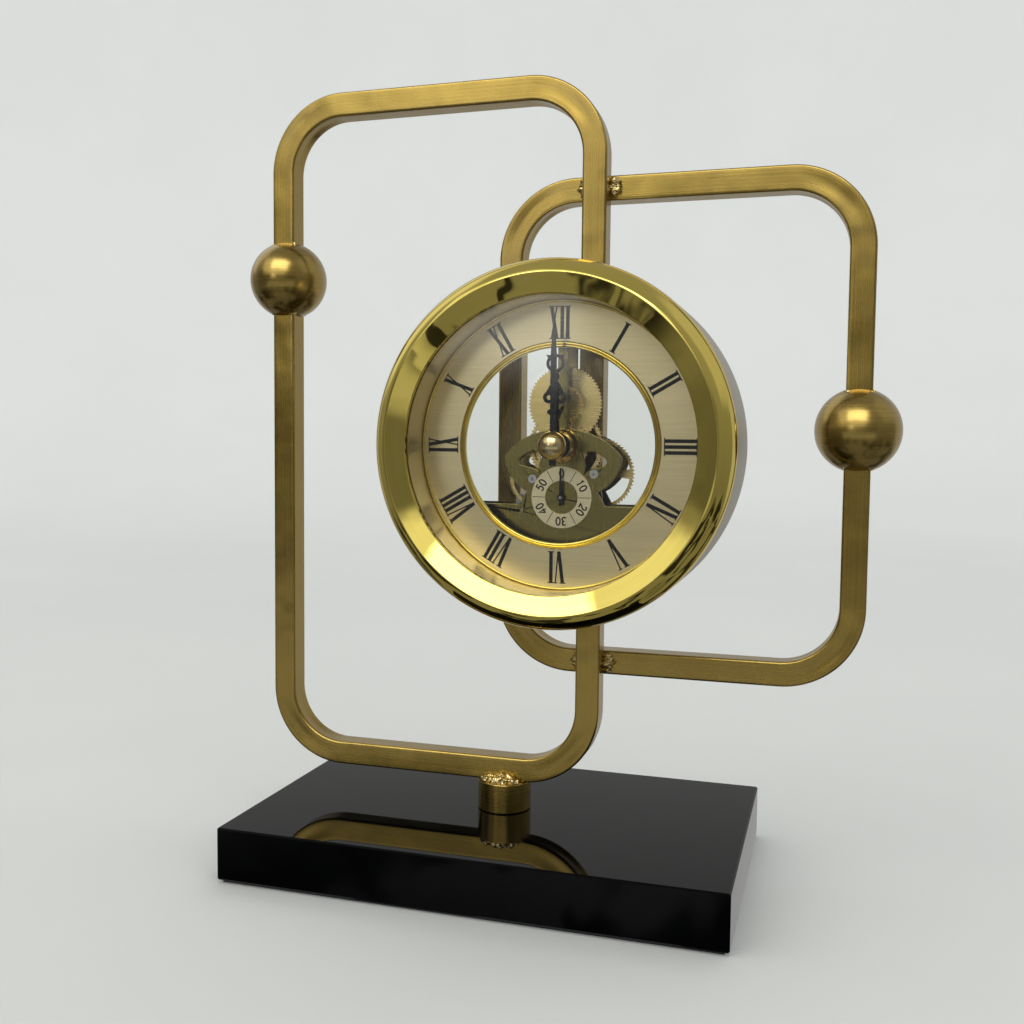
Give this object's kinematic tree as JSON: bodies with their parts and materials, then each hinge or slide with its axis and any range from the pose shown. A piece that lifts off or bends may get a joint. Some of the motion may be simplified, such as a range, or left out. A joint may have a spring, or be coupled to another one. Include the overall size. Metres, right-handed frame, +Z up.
{
  "type": "mantel clock",
  "caption": "Mantel clock: round see-through quartz head on two interlocked loops of square tube with balls, on a rectangular base.",
  "frame": {"origin": "centre of the base's underside, on the surface the clock stands on", "axes": "+Z up, +X to the right as seen from the front, -Y out of the dial towards the viewer"},
  "size_m": [0.2193, 0.099, 0.26],
  "materials": {
    "base_black": "black stone, polished to a mirror gloss",
    "felt_black": "black felt",
    "zinc_steel": "zinc-plated steel",
    "satin_gold": "satin gold lacquered steel, fine brushed grain",
    "ball_gold": "satin gold spun brass ball",
    "weld_gold": "bright gold braze",
    "polished_gold": "mirror-polished gold plate",
    "drum_silver": "satin nickel, spun",
    "clear_glass": "clear flat glass",
    "dial_champagne": "champagne brushed aluminium with printed numerals",
    "sub_dial": "silvered champagne with printed digits",
    "plate_brass": "satin brass plate with bright cut edges",
    "pillar_brass": "turned brass",
    "wheel_brass": "stamped brass wheels",
    "arbor_steel": "polished steel",
    "hand_black": "gloss black lacquer",
    "black_plastic": "black moulded plastic",
    "magnet_grey": "sintered magnet",
    "stator_steel": "soft iron sheet",
    "coil_copper": "enamelled copper wire",
    "board_green": "green circuit board with potted chip and quartz can",
    "cell_jacket": "plain printed steel can, no markings"
  },
  "bodies": {
    "clock_body": {"base_block": "base_black", "base_felt": "felt_black", "base_bolt": "zinc_steel", "base_washer": "zinc_steel", "head_screws": "zinc_steel", "plate_screws": "zinc_steel", "cell_contacts": "zinc_steel", "stator_fixings": "zinc_steel", "pivot_bushes": "zinc_steel", "front_loop": "satin_gold", "rear_loop": "satin_gold", "post_collar": "satin_gold", "head_spacers": "satin_gold", "front_ball": "ball_gold", "rear_ball": "ball_gold", "ball_brazes": "weld_gold", "frame_welds": "weld_gold", "bezel": "polished_gold", "chapter_rim": "polished_gold", "opening_trim": "polished_gold", "drum_case": "drum_silver", "rehaut_ring": "drum_silver", "back_frame": "drum_silver", "front_glass": "clear_glass", "back_glass": "clear_glass", "dial_ring": "dial_champagne", "seconds_dial": "sub_dial", "front_plate": "plate_brass", "rear_plate": "plate_brass", "plate_pillars": "pillar_brass", "dial_posts": "pillar_brass", "centre_nut": "pillar_brass", "cell_holder": "black_plastic", "coil_bobbin": "black_plastic", "stator": "stator_steel", "coil_core": "stator_steel", "coil_winding": "coil_copper", "circuit_board": "board_green", "cell": "cell_jacket"},
    "seconds": {"seconds_arbor": "arbor_steel", "seconds_wheel": "wheel_brass", "seconds_hand": "hand_black"},
    "intermediate": {"intermediate_arbor": "arbor_steel", "intermediate_wheel": "wheel_brass"},
    "rotor": {"rotor_arbor": "arbor_steel", "rotor_magnet": "magnet_grey"},
    "third": {"third_arbor": "arbor_steel", "third_wheel": "wheel_brass"},
    "centre_wheel_body": {"centre_wheel": "wheel_brass"},
    "minute": {"minute_arbor": "arbor_steel", "clutch_spring": "zinc_steel", "minute_hand": "hand_black", "hand_cap": "pillar_brass", "setting_knob": "black_plastic"},
    "motion_arbor_body": {"motion_arbor": "arbor_steel"},
    "minute_wheel_body": {"minute_wheel": "wheel_brass", "minute_pinion": "wheel_brass"},
    "hour_sleeve_body": {"hour_sleeve": "wheel_brass"},
    "hour": {"hour_wheel": "wheel_brass", "hour_hand": "hand_black"}
  },
  "joints": [
    {"name": "seconds_turn", "type": "hinge", "parent": "clock_body", "child": "seconds", "pos_m": [0.0238, 0, 0.125], "axis": [0, 1, 0], "continuous": true},
    {"name": "intermediate_turn", "type": "hinge", "parent": "clock_body", "child": "intermediate", "pos_m": [0.0143, 0, 0.13055], "axis": [0, 1, 0], "continuous": true},
    {"name": "rotor_turn", "type": "hinge", "parent": "clock_body", "child": "rotor", "pos_m": [0.01093, 0, 0.12092], "axis": [0, 1, 0], "continuous": true},
    {"name": "third_turn", "type": "hinge", "parent": "clock_body", "child": "third", "pos_m": [0.03397, 0, 0.1324], "axis": [0, 1, 0], "continuous": true},
    {"name": "centre_turn", "type": "hinge", "parent": "clock_body", "child": "centre_wheel_body", "pos_m": [0.0238, 0, 0.141], "axis": [0, 1, 0], "continuous": true},
    {"name": "motion_arbor_turn", "type": "hinge", "parent": "clock_body", "child": "motion_arbor_body", "pos_m": [0.0238, 0, 0.154], "axis": [0, 1, 0], "continuous": true},
    {"name": "hour_sleeve_turn", "type": "hinge", "parent": "clock_body", "child": "hour_sleeve_body", "pos_m": [0.0238, 0, 0.141], "axis": [0, 1, 0], "continuous": true},
    {"name": "hand_setting", "type": "hinge", "parent": "centre_wheel_body", "child": "minute", "pos_m": [0.0238, 0, 0.141], "axis": [0, 1, 0], "continuous": true},
    {"name": "minute_wheel_turn", "type": "hinge", "parent": "motion_arbor_body", "child": "minute_wheel_body", "pos_m": [0.0238, 0, 0.154], "axis": [0, 1, 0], "continuous": true},
    {"name": "hour_turn", "type": "hinge", "parent": "hour_sleeve_body", "child": "hour", "pos_m": [0.0238, 0, 0.141], "axis": [0, 1, 0], "continuous": true}
  ],
  "couplings": [
    {"joint": "intermediate_turn", "follows": "seconds_turn", "ratio": -4},
    {"joint": "rotor_turn", "follows": "seconds_turn", "ratio": 30},
    {"joint": "third_turn", "follows": "seconds_turn", "ratio": -0.13333},
    {"joint": "centre_turn", "follows": "seconds_turn", "ratio": 0.016667},
    {"joint": "motion_arbor_turn", "follows": "seconds_turn", "ratio": -0.0020833},
    {"joint": "hour_sleeve_turn", "follows": "seconds_turn", "ratio": 0.0013889},
    {"joint": "minute_wheel_turn", "follows": "hand_setting", "ratio": -0.125},
    {"joint": "hour_turn", "follows": "hand_setting", "ratio": 0.083333}
  ]
}
